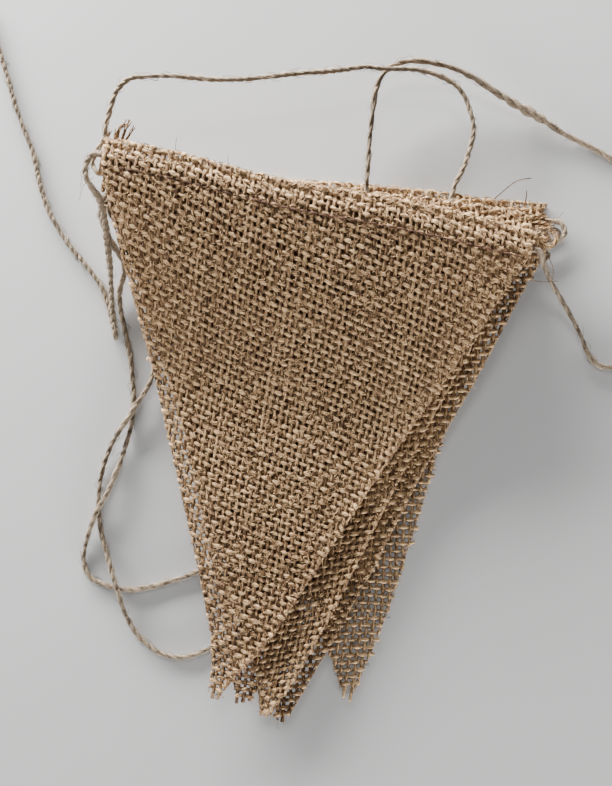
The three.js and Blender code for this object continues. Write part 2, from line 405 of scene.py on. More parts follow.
TAIL = (
    (-1180, 1425, 10), (-1130, 1260, 10), (-1100, 1165, 10), (-1085, 1105, 10), (-1045, 985, 10), (-1005, 880, 10),
    (-985, 790, 10), (-955, 685, 10), (-910, 600, 10), (-865, 535, 10), (-810, 470, 10), (-760, 400, 10),
    (-735, 345, 10), (-715, 270, 10), (-705, 220, 11), (-700, 202, 20), (-700, 220, 31), (-705, 265, 36),
    (-710, 345, 45), (-710, 455, 65), (-715, 550, 96), (-715, 635, 140), (-725, 685, 180), (-745, 715, 205),
    (-760, 750, 213), (-760, 790, 214),
)
RIGHT_LOOP = (
    (830, 460, 170), (870, 405, 110), (925, 340, 65), (975, 270, 35), (1015, 200, 20), (1045, 135, 12),
    (1085, 100, 10), (1135, 95, 10), (1200, 125, 10), (1260, 195, 10), (1305, 315, 10), (1325, 460, 10),
    (1305, 610, 10), (1250, 740, 10), (1180, 825, 10), (1130, 860, 10), (1050, 905, 13), (955, 950, 18),
    (845, 1015, 30), (765, 1055, 40), (675, 1105, 53), (595, 1150, 66), (510, 1180, 78), (405, 1195, 88),
    (350, 1190, 90), (290, 1165, 88), (255, 1105, 78), (240, 1005, 66), (230, 905, 58), (225, 820, 55),
    (220, 750, 52), (220, 700, 59), (220, 660, 40), (225, 630, 35), (245, 595, 27), (300, 570, 24), (530, 520, 24),
    (780, 485, 26), (830, 478, 32), (870, 485, 46), (880, 503, 60), (855, 516, 69),
)
ARCH = (
    (-750, 805, 164), (-735, 845, 168), (-705, 895, 172), (-700, 935, 175), (-675, 1020, 180), (-655, 1065, 180),
    (-610, 1100, 180), (-565, 1105, 178), (-485, 1110, 175), (-390, 1105, 170), (-300, 1100, 165),
    (-205, 1105, 160), (-50, 1125, 150), (120, 1145, 135), (215, 1160, 126), (275, 1155, 120), (400, 1155, 110),
    (495, 1130, 100), (555, 1090, 92), (585, 1035, 84), (605, 960, 76), (595, 895, 70), (570, 815, 66),
    (540, 755, 60), (525, 690, 60), (523, 665, 60), (523, 635, 43), (530, 605, 35), (560, 575, 28), (620, 555, 24),
    (720, 543, 26), (830, 539, 29), (910, 552, 28), (950, 590, 26), (935, 625, 24),
)
LEFT_LOOPS = (
    (-715, 705, 114), (-735, 660, 106), (-730, 610, 92), (-705, 550, 73), (-665, 475, 50), (-665, 435, 40),
    (-685, 370, 26), (-683, 310, 17), (-670, 245, 10), (-650, 145, 10), (-640, 50, 10), (-635, -25, 10),
    (-645, -120, 11), (-675, -230, 19), (-725, -360, 32), (-765, -430, 31), (-805, -535, 17), (-820, -615, 10),
    (-795, -680, 10), (-730, -710, 10), (-645, -725, 10), (-555, -710, 10), (-455, -680, 10), (-390, -655, 10),
    (-310, -640, 10), (-245, -680, 10), (-220, -770, 10), (-245, -865, 10), (-355, -940, 10), (-455, -975, 10),
    (-535, -960, 10), (-605, -910, 10), (-660, -825, 16), (-695, -710, 32), (-730, -600, 20), (-760, -485, 10),
    (-765, -405, 10), (-755, -305, 12), (-715, -190, 22), (-635, -65, 33), (-565, 55, 30), (-550, 175, 20),
    (-575, 325, 10), (-625, 480, 16), (-665, 575, 30), (-695, 625, 50), (-720, 670, 64), (-725, 700, 69),
)
LINK = (
    (825, 573, 162), (860, 576, 159), (886, 573, 150), (898, 560, 133), (894, 550, 120),
)


# Loose yarn ends and long fibres that stand off the hems: thickness in metres, shade, and points in tenths of a
# millimetre from the datum. The thicker ones are yarns of three plies.

LOOSE_SPACING = 0.0007
THINNEST_YARN = 0.0005

LOOSE = (
    (0.0012, 0.15, ((-655, 885, 195), (-645, 915, 205), (-615, 942, 205))),
    (0.0011, 0.3, ((-640, 880, 190), (-625, 915, 205), (-608, 938, 215))),
    (0.0009, 0.5, ((-628, 875, 190), (-606, 905, 205), (-596, 922, 205))),
    (0.001, 0.3, ((-690, 880, 190), (-684, 900, 200), (-678, 912, 200))),
    (0.001, 0.4, ((-665, 880, 190), (-660, 900, 205), (-652, 914, 210))),
    (0.0013, 0.45, ((790, 605, 165), (825, 613, 170), (858, 605, 165))),
    (0.0012, 0.3, ((790, 592, 165), (830, 594, 172), (862, 585, 168))),
    (0.0012, 0.6, ((800, 572, 165), (838, 576, 176), (864, 570, 175))),
    (0.001, 0.2, ((780, 610, 165), (812, 622, 170), (836, 622, 165))),
    (0.0015, 0.55, ((826, 522, 165), (854, 510, 172), (872, 530, 175), (870, 556, 175), (850, 564, 172))),
    (0.0013, 0.35, ((795, 545, 165), (822, 525, 170), (826, 500, 165), (810, 485, 160))),
    (0.0012, 0.5, ((785, 555, 168), (806, 530, 172), (806, 500, 165))),
    (0.00042, 0.0, ((660, 680, 170), (690, 706, 185), (733, 737, 195), (782, 746, 200))),
    (0.00045, 0.0, ((770, 660, 150), (773, 688, 165), (773, 712, 170))),
    (0.00022, 0.1, ((-450, 830, 190), (-452, 855, 205), (-446, 882, 215))),
    (0.0002, 0.3, ((-270, 795, 185), (-272, 812, 195), (-268, 826, 200))),
    (0.0002, 0.3, ((862, 562, 160), (880, 610, 170), (905, 635, 165))),
    (0.00026, 0.1, ((795, 400, 130), (840, 392, 150), (893, 396, 140))),
    (0.00026, 0.1, ((850, 480, 165), (868, 440, 160), (873, 400, 140))),
    (0.0002, 0.3, ((-735, 830, 170), (-780, 790, 160), (-800, 730, 130))),
    (0.0002, 0.3, ((-745, 760, 160), (-790, 735, 130), (-812, 690, 100))),
)


def metres(rows: tuple) -> np.ndarray:
    """Points given in tenths of a millimetre, in metres."""
    return np.array(rows) / 10000


def smooth(t: np.ndarray) -> np.ndarray:
    """A soft step from 0 to 1."""
    t = np.clip(t, 0, 1)
    return t * t * (3 - 2 * t)


def wander(rng: np.random.Generator, t: np.ndarray, length: float) -> np.ndarray:
    """A smooth random wave of about one unit.

    Args:
        rng: the seeded source of its waves.
        t: where it is wanted.
        length: the length of its longest waves.

    Returns:
        Its value at each place.
    """
    total = np.zeros_like(t)
    for share, part in ((0.6, 1.0), (0.45, 0.53), (0.35, 0.27)):
        total += share * np.sin(2 * math.pi * t / (length * part * rng.uniform(0.8, 1.25)) + rng.uniform(0, 7))
    return total


# Strands and how they become meshes

@dataclass
class Strands:
    """Strands of fibre, gathered as lines and turned into one mesh of closed tubes.

    The mesh's fibre attribute is each point's place in its strand if that were straight and untwisted, so a
    pattern drawn out along it follows the fibres. The tint attribute is the strand's shade as given, which for the
    pennants' warps and wefts holds painted shade and light.
    """

    sides: int = 5
    rows: list[tuple[np.ndarray, np.ndarray, float, float]] = field(default_factory=list)
    start_step: float = 0.0137
    start_span: float = 1.9
    aside_step: float = 0.0021
    aside_count: int = 17

    def add(self, line: np.ndarray, radius: np.ndarray, twist: float, tint: float) -> None:
        """Adds a strand.

        Args:
            line: its points.
            radius: its radius at each point.
            twist: how far its fibres turn in a metre, in radians.
            tint: its shade, 0 dark to 1 light.
        """
        self.rows.append((line, radius, twist, tint))

    def mesh(self, name: str) -> bpy.types.Mesh:
        """The mesh of all the strands, with its fibre and tint attributes.

        Args:
            name: the mesh's name.

        Returns:
            The new mesh.
        """
        curve = bpy.data.curves.new(name, "CURVE")
        curve.dimensions = "3D"
        section = self.section()
        curve.bevel_mode = "OBJECT"
        curve.bevel_object = section
        for line, radius, _, _ in self.rows:
            spline = curve.splines.new("POLY")
            spline.points.add(len(line) - 1)
            spline.points.foreach_set("co", np.column_stack((line, np.ones(len(line)))).ravel())
            spline.points.foreach_set("radius", radius)
            spline.use_smooth = True
        carrier = add_object(name, curve)
        graph = bpy.context.evaluated_depsgraph_get()
        mesh = bpy.data.meshes.new_from_object(carrier.evaluated_get(graph), depsgraph=graph)
        mesh.name = name
        bpy.data.objects.remove(carrier)
        bpy.data.curves.remove(curve)
        bpy.data.curves.remove(section.data)
        self.mark(mesh)
        shaper = bmesh.new()
        shaper.from_mesh(mesh)
        open_edges = [edge for edge in shaper.edges if edge.is_boundary]
        bmesh.ops.holes_fill(shaper, edges=open_edges, sides=self.sides)
        bmesh.ops.recalc_face_normals(shaper, faces=shaper.faces)
        shaper.to_mesh(mesh)
        shaper.free()
        mesh.shade_smooth()
        return mesh

    def section(self) -> bpy.types.Object:
        """A ring of one unit's radius, for the strands' section.

        Returns:
            Its object.
        """
        curve = bpy.data.curves.new("section", "CURVE")
        ring = curve.splines.new("POLY")
        ring.points.add(self.sides - 1)
        for index, point in enumerate(ring.points):
            angle = 2 * math.pi * index / self.sides
            point.co = (math.cos(angle), math.sin(angle), 0.0, 1.0)
        ring.use_cyclic_u = True
        return add_object("section", curve)

    def mark(self, mesh: bpy.types.Mesh) -> None:
        """Writes the fibre and tint attributes, with each strand at another place in the fibres' pattern.

        Args:
            mesh: the mesh, which is one ring of points after another.
        """
        fibre, tint = [], []
        for index, (line, radius, twist, shade) in enumerate(self.rows):
            steps = np.linalg.norm(np.diff(line, axis=0), axis=1)
            along = np.concatenate(((0.0,), np.cumsum(steps)))
            ring = np.arange(self.sides) * 2 * math.pi / self.sides
            angle = ring[None, :] + twist * along[:, None]
            start = (index * self.start_step) % self.start_span
            place = np.stack(
                (
                    np.repeat(along[:, None] + start, self.sides, axis=1),
                    radius[:, None] * np.cos(angle) + self.aside_step * (index % self.aside_count),
                    radius[:, None] * np.sin(angle),
                ),
                axis=2,
            )
            fibre.append(place.reshape(-1, 3))
            tint.append(np.full(len(line) * self.sides, shade))
        marks = mesh.attributes.new("fibre", "FLOAT_VECTOR", "POINT")
        marks.data.foreach_set("vector", np.concatenate(fibre).astype(np.float32).ravel())
        paint(mesh, "tint", np.concatenate(tint))


# Finishes

def set_inputs(node: bpy.types.Node, values: dict[str, float | tuple[float, ...]]) -> None:
    """Sets a node's inputs by name."""
    for name, value in values.items():
        node.inputs[name].default_value = value


@dataclass(frozen=True)
class JuteFinish:
    """Raw jute: dull straw fibres streaked along the strand, painted shade deep down and painted light on top."""

    name: str
    dark: tuple[float, float, float]
    middle: tuple[float, float, float]
    light: tuple[float, float, float]
    streak: float = 0.5
    roughness: float = 0.82
    sheen: float = 0.12
    relief: float = 0.00022

    def material(self, fibres: bpy.types.NodeTree) -> bpy.types.Material:
        """Makes the finish.

        Args:
            fibres: the shader group that draws the fibres.

        Returns:
            The new material.
        """
        material = bpy.data.materials.new(self.name)
        material.use_nodes = True
        nodes, links = material.node_tree.nodes, material.node_tree.links
        shader = nodes["Principled BSDF"]
        set_inputs(shader, {
            "Roughness": self.roughness, "Specular IOR Level": 0.3, "Sheen Weight": self.sheen,
            "Sheen Roughness": 0.6,
        })
        group = nodes.new("ShaderNodeGroup")
        group.node_tree = fibres
        set_inputs(group, {
            "Dark": (*self.dark, 1.0), "Middle": (*self.middle, 1.0), "Light": (*self.light, 1.0),
            "Streak": self.streak,
        })
        bump = nodes.new("ShaderNodeBump")
        set_inputs(bump, {"Distance": self.relief, "Strength": 0.9})
        links.new(group.outputs["Color"], shader.inputs["Base Color"])
        links.new(group.outputs["Height"], bump.inputs["Height"])
        links.new(bump.outputs["Normal"], shader.inputs["Normal"])
        return material


def fibre_group() -> bpy.types.NodeTree:
    """Builds the shader group for jute fibres.

    Returns:
        The group. It draws long streaks along each strand, slower changes of shade, the strand's tint, and painted
        shade and light read from the crown attribute.
    """
    tree = bpy.data.node_groups.new("jute fibres", "ShaderNodeTree")
    for name, kind, flow in (
        ("Dark", "NodeSocketColor", "INPUT"), ("Middle", "NodeSocketColor", "INPUT"),
        ("Light", "NodeSocketColor", "INPUT"), ("Streak", "NodeSocketFloat", "INPUT"),
        ("Color", "NodeSocketColor", "OUTPUT"), ("Height", "NodeSocketFloat", "OUTPUT"),
    ):
        tree.interface.new_socket(name, in_out=flow, socket_type=kind)
    nodes, links = tree.nodes, tree.links
    given, out = nodes.new("NodeGroupInput"), nodes.new("NodeGroupOutput")
    place, own, crown = (nodes.new("ShaderNodeAttribute") for _ in range(3))
    place.attribute_name, own.attribute_name, crown.attribute_name = "fibre", "tint", "crown"

    def noise(scale: tuple[float, float, float], detail: float) -> bpy.types.NodeSocket:
        """A noise over the fibres' places.

        Args:
            scale: how far it is drawn out each way.
            detail: its detail.

        Returns:
            Its value.
        """
        mapping, texture = nodes.new("ShaderNodeMapping"), nodes.new("ShaderNodeTexNoise")
        set_inputs(mapping, {"Scale": scale})
        set_inputs(texture, {"Scale": 1.0, "Detail": detail})
        links.new(place.outputs["Vector"], mapping.inputs["Vector"])
        links.new(mapping.outputs["Vector"], texture.inputs["Vector"])
        return texture.outputs["Fac"]

    def reckon(operation: str, *values: bpy.types.NodeSocket | float) -> bpy.types.NodeSocket:
        """One step of a sum.

        Args:
            operation: what it does.
            values: the sockets and numbers that it works on.

        Returns:
            The result.
        """
        node = nodes.new("ShaderNodeMath")
        node.operation = operation
        for socket, value in zip(node.inputs, values):
            if isinstance(value, bpy.types.NodeSocket):
                links.new(value, socket)
            else:
                socket.default_value = value
        return node.outputs[0]

    def add_up(first: bpy.types.NodeSocket, second: bpy.types.NodeSocket, weight: float) -> bpy.types.NodeSocket:
        """The first value with a weight of the second, counted from its middle."""
        return reckon("MULTIPLY_ADD", reckon("SUBTRACT", second, 0.5), weight, first)

    def blend(
        start: float, end: float, first: bpy.types.NodeSocket, second: bpy.types.NodeSocket
    ) -> bpy.types.NodeSocket:
        """Passes from one colour to another by the shade.

        Args:
            start: the shade up to which the first colour holds.
            end: the shade from which the second holds.
            first: the first colour.
            second: the second colour.

        Returns:
            The colour.
        """
        part, mix = nodes.new("ShaderNodeMapRange"), nodes.new("ShaderNodeMix")
        mix.data_type = "RGBA"
        set_inputs(part, {"From Min": start, "From Max": end})
        links.new(shade, part.inputs["Value"])
        links.new(part.outputs["Result"], mix.inputs["Factor"])
        links.new(first, mix.inputs["A"])
        links.new(second, mix.inputs["B"])
        return mix.outputs["Result"]

    streaks = noise(scale=(520.0, 3600.0, 3600.0), detail=1.0)
    patches = noise(scale=(75.0, 320.0, 320.0), detail=1.0)
    specks = noise(scale=(1300.0, 3000.0, 3000.0), detail=0.0)
    shade = add_up(add_up(own.outputs["Fac"], patches, weight=0.8), specks, weight=0.9)
    # Painted shade and light: darker deep in the weave and in the twine's grooves, lighter on top.
    shade = add_up(shade, crown.outputs["Fac"], weight=0.9)
    contrast = reckon("MULTIPLY", reckon("SUBTRACT", streaks, 0.5), 3.6)
    shade = reckon("MULTIPLY_ADD", contrast, given.outputs["Streak"], shade)
    colour = blend(0.0, 0.5, given.outputs["Dark"], given.outputs["Middle"])
    links.new(blend(0.5, 1.0, colour, given.outputs["Light"]), out.inputs["Color"])
    links.new(streaks, out.inputs["Height"])
    return tree


HESSIAN = JuteFinish(
    name="hessian", dark=(0.062, 0.024, 0.006), middle=(0.26, 0.147, 0.063), light=(0.59, 0.393, 0.208),
    streak=0.95, sheen=0.07,
)
JUTE_TWINE = JuteFinish(
    name="jute twine", dark=(0.045, 0.029, 0.016), middle=(0.135, 0.095, 0.058), light=(0.31, 0.24, 0.165), streak=0.8
)
HEM_THREAD = JuteFinish(
    name="hem thread", dark=(0.025, 0.010, 0.005), middle=(0.045, 0.020, 0.010), light=(0.08, 0.036, 0.019), sheen=0.0
)


# The pennants

@dataclass
class Weaver:
    """Weaves one pennant's hessian flat, frays its cut edges and lays it in the pile.

    Two values paint light and shade on the cloth down its length, for how the light falls on its slope:
    painted_light_band lightens a band and painted_shade_below darkens it further down. Each is an amount, a place
    along the cloth and a length. The groove is where the stitches pull the yarns in. The matted rows are a side,
    0 left and 1 right, and how many rows in from it.
    """

    pennant: Pennant
    finish: bpy.types.Material
    thread: bpy.types.Material
    seed: int
    seam_at: float = 0.0102
    seam_shows: float = -0.022
    stitch_length: float = 0.0034
    fray: float = 0.0016
    loose_end: float = 0.003
    edge_fibres: int = 320
    fold_fibres: int = 420
    roughness: float = 0.000055
    edge_fluff: float = 0.22
    edge_reach: float = 0.004
    fold_reach: float = 0.009
    groove: float = 0.0003
    groove_width: float = 0.0011
    fewest_places: int = 44
    first_yarn: int = -70
    last_yarn: int = 110
    tip_zone: float = 0.014
    tip_frays: float = 0.75
    slub: float = 0.22
    slub_reach: float = 2.5
    astray: tuple[float, float] = (0.00005, 0.0006)
    warp_painted_shade: float = -0.14
    weft_painted_light: float = 0.05
    matted_rows: tuple[tuple[int, int], ...] = ((0, 0), (0, 1), (0, 2), (1, 0), (1, 1))
    matted_step: float = 0.0013
    stitch_gap: float = 0.0004
    stitch_rise: float = 0.0005
    stitch_radius: float = 0.0003
    twist: float = 900.0
    painted_light_height: float = 0.00075
    painted_light_band: tuple[float, float, float] = (0.10, 0.07, 0.03)
    painted_shade_below: tuple[float, float, float] = (0.17, 0.105, 0.05)
    others: tuple[bpy.types.Object, ...] = ()
    fibres: Strands = field(default_factory=lambda: Strands(sides=3))

    def __post_init__(self) -> None:
        """Starts the seeded randomness, the cloth's strands and the waves that bend the whole cloth."""
        self.rng = np.random.default_rng(self.seed)
        self.strands = Strands(sides=self.pennant.yarn_sides)
        self.drifts = [
            (self.rng.uniform(-1, 1, 2) * 2 * math.pi / self.rng.uniform(9, 30), self.rng.uniform(0, 7), size)
            for size in (0.0004, 0.0003, 0.00025, 0.0002, 0.0002, 0.00015)
        ]

    def cloth_place(self, a: np.ndarray, b: np.ndarray) -> tuple[np.ndarray, np.ndarray]:
        """Where places counted in yarns lie on the flat cloth.

        Args:
            a: places counted in warp yarns from the middle.
            b: places counted in weft yarns from the fold.

        Returns:
            The places along the fold and along the cloth.
        """
        weave = self.pennant.weave
        u = a * weave.warp_pitch + b * weave.weft_pitch * weave.warp_lean
        w = b * weave.weft_pitch * (1 - weave.weft_closes * np.abs(b) / 2) + a * weave.warp_pitch * weave.weft_lean
        for (across, along), start, size in self.drifts:
            bend = size * np.sin(across * a + along * b + start)
            u, w = u + bend, w + bend * math.cos(start * 3)
        return u, w

    def trimmed(self, across: bool, index: int) -> tuple[float, float] | None:
        """Where a yarn starts and ends, a little beyond the cut edges.

        Args:
            across: whether it is a weft yarn.
            index: its number.

        Returns:
            Its two ends, counted in yarns, or None where it misses the cloth.
        """
        t = np.arange(-self.last_yarn, self.last_yarn, 0.05)
        fixed = np.full_like(t, index)
        u, w = self.cloth_place(t, fixed) if across else self.cloth_place(fixed, t)
        within = np.flatnonzero(self.pennant.inside(u, w) > 0)
        if len(within) < self.fewest_places:
            return None
        pitch = self.pennant.weave.warp_pitch if across else self.pennant.weave.weft_pitch
        at_tip = not across and w[within[-1]] > self.pennant.tip - self.tip_zone
        frayed = self.rng.random(2) < (self.pennant.frayed, self.tip_frays if at_tip else self.pennant.frayed)
        longer, even = self.rng.uniform(0.2, 1.0, 2) * self.fray, self.rng.normal(0, 0.0001, 2)
        start, end = np.where(frayed, longer, even) / pitch
        return t[within[0]] - start, t[within[-1]] + end

    def yarn(self, across: bool, index: int) -> None:
        """Weaves one yarn.

        Args:
            across: whether it is a weft yarn.
            index: its number.
        """
        ends = self.trimmed(across, index)
        if ends is None:
            return
        weave, rng = self.pennant.weave, self.rng
        finer = 3 if across and self.pennant.level == len(PENNANTS) - 1 else 2
        inner = np.arange(math.ceil(ends[0] * finer + 0.4) / finer, ends[1] - 0.2, 1 / finer)
        t = np.concatenate(((ends[0],), inner, (ends[1],)))
        if len(t) < 3:
            return
        beside = index + rng.normal(0, 0.04) + 0.06 * wander(rng, t, 17)
        u, w = self.cloth_place(t, beside) if across else self.cloth_place(beside, t)
        rise = -weave.weft_rise if across else weave.warp_rise
        out = rise * np.cos(math.pi * (t + index)) * (1 + 0.15 * wander(rng, t, 5))
        out = out - self.groove * np.exp(-(((w - self.seam_at) / self.groove_width) ** 2))
        pitch = weave.warp_pitch if across else weave.weft_pitch
        from_end = np.minimum(t - ends[0], ends[1] - t) * pitch
        looseness = np.clip(1 - from_end / self.loose_end, 0, 1) ** 2
        astray = rng.choice(self.astray, p=(0.88, 0.12))
        u = u + looseness * rng.normal(0, astray, len(t))
        w = w + looseness * rng.normal(0, astray, len(t))
        out = out * (1 - 0.3 * looseness) + looseness * abs(rng.normal(0, astray))
        size = (weave.weft_yarn if across else weave.warp_yarn) * np.clip(rng.normal(1, 0.07), 0.75, 1.3)
        radius = size / 2 * (1 + 0.07 * wander(rng, t, 6)) * (1 + 0.06 * np.cos(2 * math.pi * t))
        radius = radius * rng.normal(1, 0.045, len(t))
        at_edge = np.exp(-np.maximum(self.pennant.inside(u, w), 0) / self.edge_reach)
        at_fold = np.exp(-((w / self.fold_reach) ** 2))
        radius *= 1 + self.edge_fluff * at_edge + self.pennant.hem_fluff * at_fold
        slub_at = rng.uniform(ends[0], ends[1])
        radius *= 1 + rng.choice((0.0, 0.0, self.slub)) * np.exp(-(((t - slub_at) / self.slub_reach) ** 2))
        radius[[0, -1]] *= 0.9
        # Painted shade on the warps, which lie low in the wefts' shadow, and painted light on the wefts.
        shade = self.pennant.tint + (self.weft_painted_light if across else self.warp_painted_shade)
        tint = np.clip(shade + rng.normal(0, 0.10), 0, 1)
        self.strands.add(np.column_stack((u, w, out)), radius, self.twist, tint)

    def fibre(self, start: np.ndarray, heading: float, length: float, lift: float, thick: float) -> None:
        """Adds one stray fibre.

        Args:
            start: where it springs from on the flat cloth, with its height.
            heading: its first direction on the flat cloth.
            length: its length.
            lift: how far it rises.
            thick: its thickness.
        """
        rng, steps = self.rng, 2
        turn = rng.normal(0, 0.8, steps).cumsum() + heading
        go = np.column_stack((np.cos(turn), np.sin(turn))) * length / steps
        plan = np.vstack((start[:2], start[:2] + go.cumsum(axis=0)))
        t = np.linspace(0, 1, steps + 1)
        out = start[2] + lift * np.sin(t * rng.uniform(1.4, 3.0))
        radius = thick / 2 * (1 - 0.5 * t)
        self.fibres.add(np.column_stack((plan, out)), radius, 0.0, rng.uniform(0.1, 1.0))

    def stray(self) -> None:
        """Scatters loose fibres over the face, along the fold and along the cut edges."""
        rng, pennant = self.rng, self.pennant
        rows = np.array(pennant.outline)
        made = 0
        while made < pennant.stray:
            w = rng.uniform(pennant.raw_edge * 0.3, pennant.tip)
            u = rng.uniform(rows[:, 1].min(), rows[:, 2].max())
            if pennant.inside(np.array([u]), np.array([w]))[0] < 0:
                continue
            heading = rng.choice((0.0, math.pi / 2)) + rng.normal(0, 0.6)
            self.fibre(
                np.array((u, w, rng.uniform(0.0001, 0.0007))), heading, rng.uniform(0.0007, 0.0032),
                rng.uniform(0.0, 0.0004), rng.uniform(0.0001, 0.00018),
            )
            made += 1
        left, right = (edge[0] for edge in pennant.edges(np.array([0.0])))
        for _ in range(self.fold_fibres):
            start = np.array((rng.uniform(left, right), rng.normal(0.0005, 0.0022), rng.uniform(0.0004, 0.0008)))
            heading = rng.choice((0.0, math.pi)) + rng.normal(0, 0.2)
            length, lift = rng.uniform(0.002, 0.0045), rng.uniform(0, 0.0005)
            self.fibre(start, heading, length, lift, rng.uniform(0.00014, 0.00024))
        for _ in range(self.edge_fibres):
            w = rng.uniform(0, pennant.tip)
            left, right = (edge[0] for edge in pennant.edges(np.array([w])))
            side = rng.choice((-1, 1))
            u = left + 0.0008 if side < 0 else right - 0.0008
            heading = (0.0 if side > 0 else math.pi) + rng.normal(0, 0.9)
            self.fibre(np.array((u, w, 0.0002)), heading, rng.uniform(0.001, 0.0032), rng.normal(0, 0.0005), 0.0001)

    def mat_edges(self) -> None:
        """Mats the fibres of the yarns' ends together along the cut edges, in short lengths of mixed shades."""
        rng, pennant = self.rng, self.pennant
        for side, row in self.matted_rows:
            start = pennant.raw_edge + 0.0005
            while start < pennant.tip - 0.006:
                length = rng.uniform(0.003, 0.009)
                w = np.arange(start, min(start + length, pennant.tip - 0.001), self.matted_step)
                inward = (1, -1)[side] * (pennant.matted * (0.5 + 1.3 * row) + rng.uniform(-0.0001, 0.0002))
                u = pennant.edges(w)[side] + inward + rng.normal(0, 0.00005, len(w))
                out = rng.uniform(-0.0003, 0.0003) - 0.0004 * row + rng.normal(0, 0.00006, len(w))
                radius = pennant.matted / 2 * rng.uniform(0.7, 1.15) * rng.normal(1, 0.08, len(w))
                tint = np.clip(pennant.tint + rng.normal(0.05 - 0.3 * row, 0.10), 0, 1)
                if len(w) > 1:
                    self.strands.add(np.column_stack((u, w, out)), radius, self.twist, tint)
                start += length * rng.uniform(0.75, 1.05)

    def build(self) -> None:
        """Weaves the pennant and lays it in the pile, in place of its solid."""
        for across in (False, True):
            for index in range(self.first_yarn, self.last_yarn):
                self.yarn(across, index)
        self.mat_edges()
        self.stray()
        pennant = self.pennant
        cloth = self.laid_piece(f"{pennant.name}_cloth", self.strands, pennant.weave.flatness)
        loose = self.laid_piece(f"{pennant.name}_loose_fibres", self.fibres, 1.0)
        thread = self.laid_piece(f"{pennant.name}_hem_stitches", self.hem_stitches(), 1.0, self.thread)
        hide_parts(pennant.name)

    def laid_piece(
        self, name: str, strands: Strands, flatness: float, finish: bpy.types.Material | None = None
    ) -> bpy.types.Object:
        """Makes strands on the flat cloth one piece of the pile.

        Args:
            name: the piece's name.
            strands: the strands, as places along the fold, along the cloth and out of it.
            flatness: how far their sections are pressed flat.
            finish: their finish, if it isn't the cloth's.

        Returns:
            The new piece.
        """
        mesh = strands.mesh(name)
        flat = points_of(mesh).astype(float)
        flat += self.rng.normal(0, self.roughness, flat.shape)
        flat[:, 0] = self.cut(flat[:, 0], flat[:, 1])
        flat[:, 2] *= flatness
        # Painted shade deep in the weave and light on top, with the painted light and shade down the cloth.
        paint(mesh, "crown", np.clip(np.abs(flat[:, 2]) / self.painted_light_height, 0, 1) + self.painted_light_along(flat[:, 1]))
        mesh.vertices.foreach_set("co", self.pennant.lay(flat).astype(np.float32).ravel())
        return add_piece(name, mesh, finish or self.finish)

    def painted_light_along(self, w: np.ndarray) -> np.ndarray:
        """The painted light and shade at places along the cloth: how much lighter it is painted there."""
        (more, light_at, light_over), (less, dark_from, dark_over) = self.painted_light_band, self.painted_shade_below
        return more * np.exp(-(((w - light_at) / light_over) ** 2)) - less * smooth((w - dark_from) / dark_over)

    def cut(self, u: np.ndarray, w: np.ndarray) -> np.ndarray:
        """Presses what stands a little beyond the cut edges back to them, as shears leave it.

        Args:
            u: places along the fold.
            w: places along the cloth.

        Returns:
            The new places along the fold.
        """
        left, right = self.pennant.edges(w)
        slack = self.pennant.sheared
        for edge, side in ((left, -1), (right, 1)):
            beyond = (u - edge) * side
            kept = np.where(beyond < slack, 0.15 * beyond, beyond - 0.85 * slack)
            u = np.where(beyond > 0, edge + side * kept, u)
        return u

    def hem_stitches(self) -> Strands:
        """Sews the brown stitches that hold the hem, partly sunk between the yarns.

        Returns:
            The stitches.
        """
        stitches, rng, pennant = Strands(sides=4), self.rng, self.pennant
        left, right = (edge[0] for edge in pennant.edges(np.array([self.seam_at])))
        for start in np.arange(left + 0.002, right - 0.004, self.stitch_length):
            t = np.linspace(0, 1, 4)
            u = start + t * (self.stitch_length - self.stitch_gap)
            w = self.seam_at + 0.0004 * np.sin(u / 0.021) + rng.normal(0, 0.00008, 4)
            shown = self.stitch_rise if start > self.seam_shows else 0.0
            out = shown + self.stitch_rise * np.sin(t * math.pi) + rng.normal(0, 0.00006)
            radius = np.full(4, self.stitch_radius)
            stitches.add(np.column_stack((u, w, out)), radius, 2000.0, rng.uniform(0.3, 0.7))
        return stitches


def paint(mesh: bpy.types.Mesh, name: str, values: np.ndarray) -> None:
    """Writes one number for each point of a mesh as an attribute."""
    mesh.attributes.new(name, "FLOAT", "POINT").data.foreach_set("value", values.astype(np.float32))


def points_of(mesh: bpy.types.Mesh) -> np.ndarray:
    """The points of a mesh, one row for each.

    Args:
        mesh: the mesh.

    Returns:
        Their coordinates.
    """
    points = np.empty(len(mesh.vertices) * 3, np.float32)
    mesh.vertices.foreach_get("co", points)
    return points.reshape(-1, 3)


def joined(name: str, meshes: list[bpy.types.Mesh]) -> bpy.types.Mesh:
    """Makes one mesh of several.

    Args:
        name: its name.
        meshes: the meshes, which are used up.

    Returns:
        The new mesh.
    """
    shaper = bmesh.new()
    for mesh in meshes:
        shaper.from_mesh(mesh)
        bpy.data.meshes.remove(mesh)
    whole = bpy.data.meshes.new(name)
    shaper.to_mesh(whole)
    shaper.free()
    whole.shade_smooth()
    return whole


def add_piece(name: str, mesh: bpy.types.Mesh, finish: bpy.types.Material) -> bpy.types.Object:
    """Adds a mesh to the scene as a piece of the one body.

    Args:
        name: the piece's name.
        mesh: its mesh.
        finish: its material.

    Returns:
        The piece, at the origin.
    """
    piece = add_object(name, mesh)
    mesh.materials.append(finish)
    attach(piece, BODY)
    log.info("%s: %d faces", name, len(mesh.polygons))
    return piece


# The twine

class Mouth(Enum):
    """The two ends of a hem's channel."""

    LEFT = -1
    RIGHT = 1


